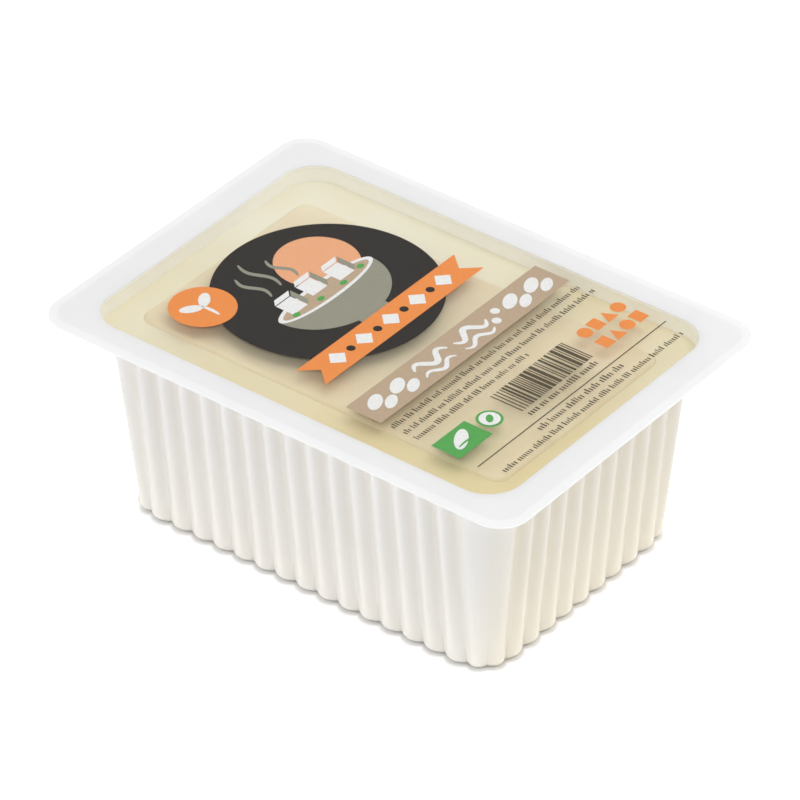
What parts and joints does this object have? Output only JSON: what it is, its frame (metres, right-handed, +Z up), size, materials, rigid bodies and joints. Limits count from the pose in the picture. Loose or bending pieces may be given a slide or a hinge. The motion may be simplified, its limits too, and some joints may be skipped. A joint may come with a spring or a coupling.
{
  "type": "tofu pack",
  "caption": "Sealed food pack: a tofu block in a ribbed white plastic tray, closed by a clear printed film lid sealed onto a flange.",
  "frame": {"origin": "middle of the underside of the tray, on the surface that it stands on", "axes": "+X along the long side, +Y across the pack, +Z up towards the film lid"},
  "size_m": [0.125, 0.0896, 0.0512],
  "materials": {
    "tray_plastic": "milky thermoformed polypropylene, satin",
    "tofu": "cream bean curd, moist and slightly porous",
    "lid_film": "clear glossy sealing film with printed fields of colour",
    "liquid": "clear pale yellow packing water",
    "ink_charcoal": "printed field, charcoal",
    "ink_orange": "printed field, orange",
    "ink_tan": "printed field, tan",
    "ink_white": "printed shapes, white",
    "ink_grey": "printed shapes, grey",
    "ink_peach": "printed shapes, peach",
    "ink_green": "printed shapes, green",
    "ink_brown": "fine printed lines, dark brown"
  },
  "bodies": {
    "root": {"tray": "tray_plastic", "tofu": "tofu", "film_lid": "lid_film"}
  },
  "joints": []
}
